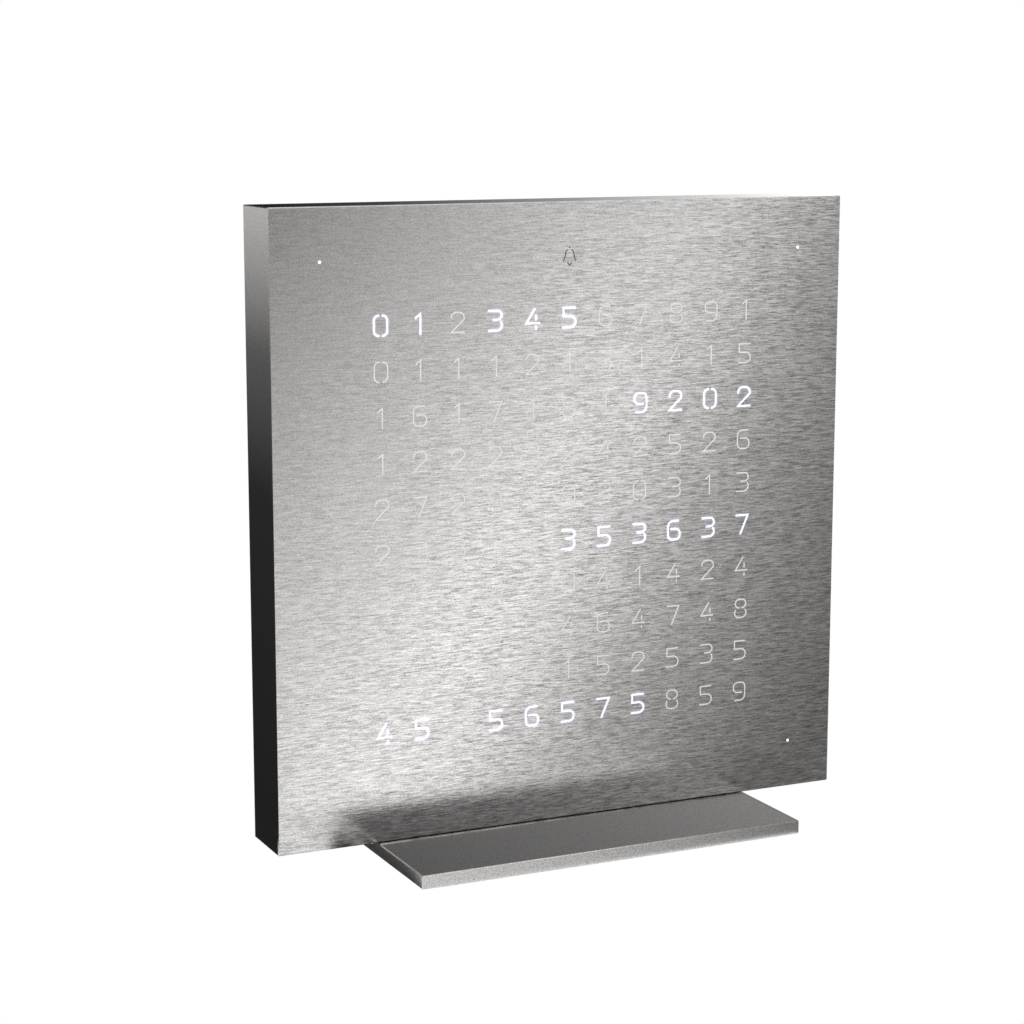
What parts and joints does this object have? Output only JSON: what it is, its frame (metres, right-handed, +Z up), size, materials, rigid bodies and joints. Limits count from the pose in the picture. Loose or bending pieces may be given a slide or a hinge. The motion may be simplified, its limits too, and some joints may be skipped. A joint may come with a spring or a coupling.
{
  "type": "word clock",
  "caption": "Square table clock that tells the time with lit signs in a brushed steel face, on a flat steel foot.",
  "frame": {"origin": "on the table, under the middle of the foot and of the head", "axes": "+X to the right of the face, +Y to the back of the clock, +Z up; the face looks towards -Y"},
  "size_m": [0.135, 0.063, 0.1386],
  "materials": {
    "brushed_cover": "fine level brushing",
    "keeper_steel": "zinc plated",
    "milky_acrylic": "milky, light scattering",
    "baffle_black": "matt moulded",
    "board_green": "solder mask",
    "led_white": "clear cast over phosphor",
    "shell_black": "fine sparked texture",
    "magnet_nickel": "nickel plated",
    "screw_zinc": "zinc plated",
    "bar_steel": "zinc plated",
    "brushed_foot": "fine level brushing",
    "pad_rubber": "matt",
    "key_plastic": "satin moulded",
    "plunger_plastic": "satin moulded",
    "switch_case": "matt moulded",
    "socket_metal": "bright tinned",
    "component_black": "moulded epoxy",
    "cell_steel": "nickel plated",
    "crystal_can": "tinned can",
    "capacitor_can": "plain can",
    "sensor_clear": "clear cast",
    "pipe_clear": "clear moulded",
    "contact_bronze": "gilt spring strip"
  },
  "bodies": {
    "clock": {"diffuser_panel": "milky_acrylic", "light_baffle": "baffle_black", "led_board": "board_green", "letter_leds": "led_white", "minute_leds": "led_white", "bell_led": "led_white", "rear_shell": "shell_black", "cover_magnets": "magnet_nickel", "frame_screws": "screw_zinc", "foot_bracket": "bar_steel", "foot_plate": "brushed_foot", "foot_pad": "pad_rubber", "foot_screws": "screw_zinc", "key_switches": "switch_case", "power_socket": "socket_metal", "socket_tongue": "component_black", "buzzer": "component_black", "battery_holder": "component_black", "coin_cell": "cell_steel", "microcontroller": "component_black", "led_drivers": "component_black", "clock_crystal": "crystal_can", "smoothing_capacitors": "capacitor_can", "voltage_regulator": "component_black", "light_sensor": "sensor_clear", "light_pipe": "pipe_clear", "touch_contact": "contact_bronze"},
    "cover": {"front_cover": "brushed_cover", "keeper_discs": "keeper_steel"},
    "hour_button": {"hour_key": "key_plastic", "hour_plunger": "plunger_plastic"},
    "minute_button": {"minute_key": "key_plastic", "minute_plunger": "plunger_plastic"},
    "alarm_button": {"alarm_key": "key_plastic", "alarm_plunger": "plunger_plastic"},
    "light_button": {"light_key": "key_plastic", "light_plunger": "plunger_plastic"}
  },
  "joints": [
    {"name": "cover_pull", "type": "slide", "parent": "clock", "child": "cover", "axis": [0, -1, 0], "range_m": [0, 0.03]},
    {"name": "hour_press", "type": "slide", "parent": "clock", "child": "hour_button", "axis": [0, -1, 0], "range_m": [0, 0.0005], "stiffness_N_per_m": 1500, "springref_m": -0.0003},
    {"name": "minute_press", "type": "slide", "parent": "clock", "child": "minute_button", "axis": [0, -1, 0], "range_m": [0, 0.0005], "stiffness_N_per_m": 1500, "springref_m": -0.0003},
    {"name": "alarm_press", "type": "slide", "parent": "clock", "child": "alarm_button", "axis": [0, -1, 0], "range_m": [0, 0.0005], "stiffness_N_per_m": 1500, "springref_m": -0.0003},
    {"name": "light_press", "type": "slide", "parent": "clock", "child": "light_button", "axis": [0, -1, 0], "range_m": [0, 0.0005], "stiffness_N_per_m": 1500, "springref_m": -0.0003}
  ]
}
